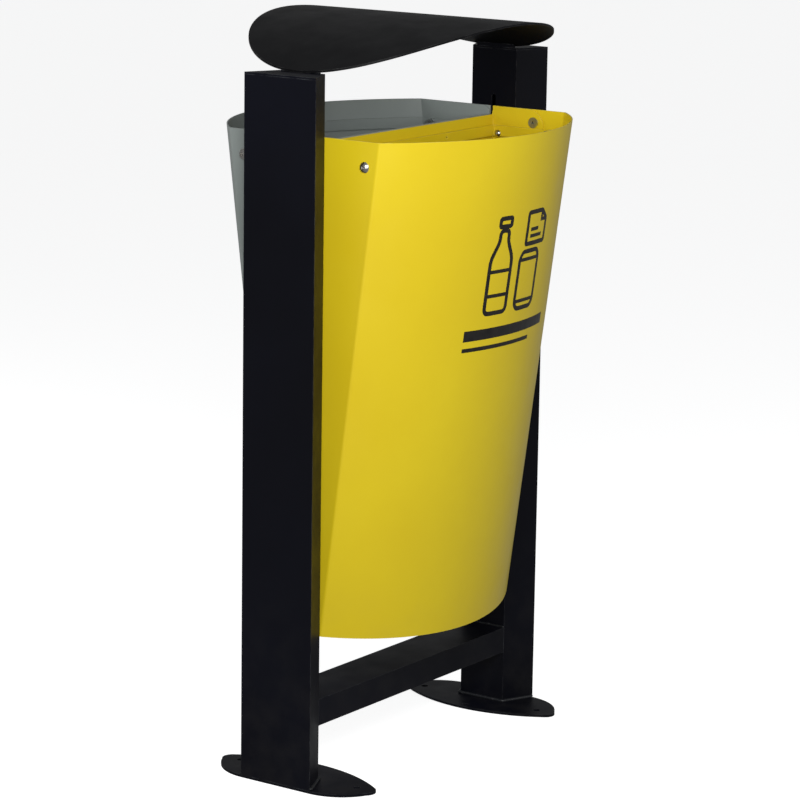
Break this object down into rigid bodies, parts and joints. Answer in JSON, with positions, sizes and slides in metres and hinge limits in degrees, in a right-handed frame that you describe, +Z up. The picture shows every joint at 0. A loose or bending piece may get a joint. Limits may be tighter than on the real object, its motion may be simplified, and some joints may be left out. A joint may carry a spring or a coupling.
{
  "type": "litter bin",
  "caption": "Outdoor litter bin for sorted waste: tilt-out bins with bag rings hang back to back between two posts under an arched canopy.",
  "frame": {"origin": "on the floor, midway between the posts and midway between the bins", "axes": "+X from the left post to the right post, -Y towards the front (yellow) bin, +Z up"},
  "size_m": [0.593, 0.4758, 1.105],
  "materials": {
    "frame_coat": "satin powder coat, near-black with a slight blue",
    "canopy_coat": "matt black powder coat",
    "yellow_coat": "glossy yellow powder coat",
    "grey_coat": "grey-green powder coat",
    "stainless": "stainless steel",
    "zinc_steel": "zinc-plated steel"
  },
  "bodies": {
    "frame": {"cross_beam": "frame_coat", "canopy": "canopy_coat", "left_post": "frame_coat", "left_post_cap": "frame_coat", "left_foot_plate": "frame_coat", "left_foot_weld": "frame_coat", "left_canopy_weld": "frame_coat", "right_post": "frame_coat", "right_post_cap": "frame_coat", "right_foot_plate": "frame_coat", "right_foot_weld": "frame_coat", "right_canopy_weld": "frame_coat", "front_tilt_bolts": "stainless", "front_tilt_washers": "zinc_steel", "front_tilt_nuts": "zinc_steel", "front_lock_keeper": "frame_coat", "rear_tilt_bolts": "stainless", "rear_tilt_washers": "zinc_steel", "rear_tilt_nuts": "zinc_steel", "rear_lock_keeper": "frame_coat"},
    "front_bin": {"front_skin": "yellow_coat", "front_back_panel": "yellow_coat", "front_floor": "yellow_coat", "front_ring_pivot_bolts": "stainless", "front_ring_spacers": "zinc_steel", "front_ring_nuts": "zinc_steel", "front_lock_body": "zinc_steel", "front_lock_nut": "zinc_steel"},
    "front_ring": {"front_bag_ring": "yellow_coat", "front_ring_screws": "stainless"},
    "front_lock": {"front_lock_plug": "zinc_steel", "front_lock_cam": "zinc_steel"},
    "rear_bin": {"rear_skin": "grey_coat", "rear_back_panel": "grey_coat", "rear_floor": "grey_coat", "rear_ring_pivot_bolts": "stainless", "rear_ring_spacers": "zinc_steel", "rear_ring_nuts": "zinc_steel", "rear_lock_body": "zinc_steel", "rear_lock_nut": "zinc_steel"},
    "rear_ring": {"rear_bag_ring": "grey_coat", "rear_ring_screws": "stainless"},
    "rear_lock": {"rear_lock_plug": "zinc_steel", "rear_lock_cam": "zinc_steel"}
  },
  "joints": [
    {"name": "front_bin_tilt", "type": "hinge", "parent": "frame", "child": "front_bin", "pos_m": [0, -0.024, 0.233], "axis": [1, 0, 0], "range_deg": [0, 30]},
    {"name": "front_ring_lift", "type": "hinge", "parent": "front_bin", "child": "front_ring", "pos_m": [0, -0.107, 0.9135], "axis": [1, 0, 0], "range_deg": [0, 70]},
    {"name": "front_lock_turn", "type": "hinge", "parent": "front_bin", "child": "front_lock", "pos_m": [0.2469, -0.078, 0.93], "axis": [1, 0, 0], "range_deg": [0, 90]},
    {"name": "rear_bin_tilt", "type": "hinge", "parent": "frame", "child": "rear_bin", "pos_m": [0, 0.024, 0.233], "axis": [-1, 0, 0], "range_deg": [0, 30]},
    {"name": "rear_ring_lift", "type": "hinge", "parent": "rear_bin", "child": "rear_ring", "pos_m": [0, 0.107, 0.9135], "axis": [-1, 0, 0], "range_deg": [0, 70]},
    {"name": "rear_lock_turn", "type": "hinge", "parent": "rear_bin", "child": "rear_lock", "pos_m": [-0.2469, 0.078, 0.93], "axis": [-1, 0, 0], "range_deg": [0, 90]}
  ]
}
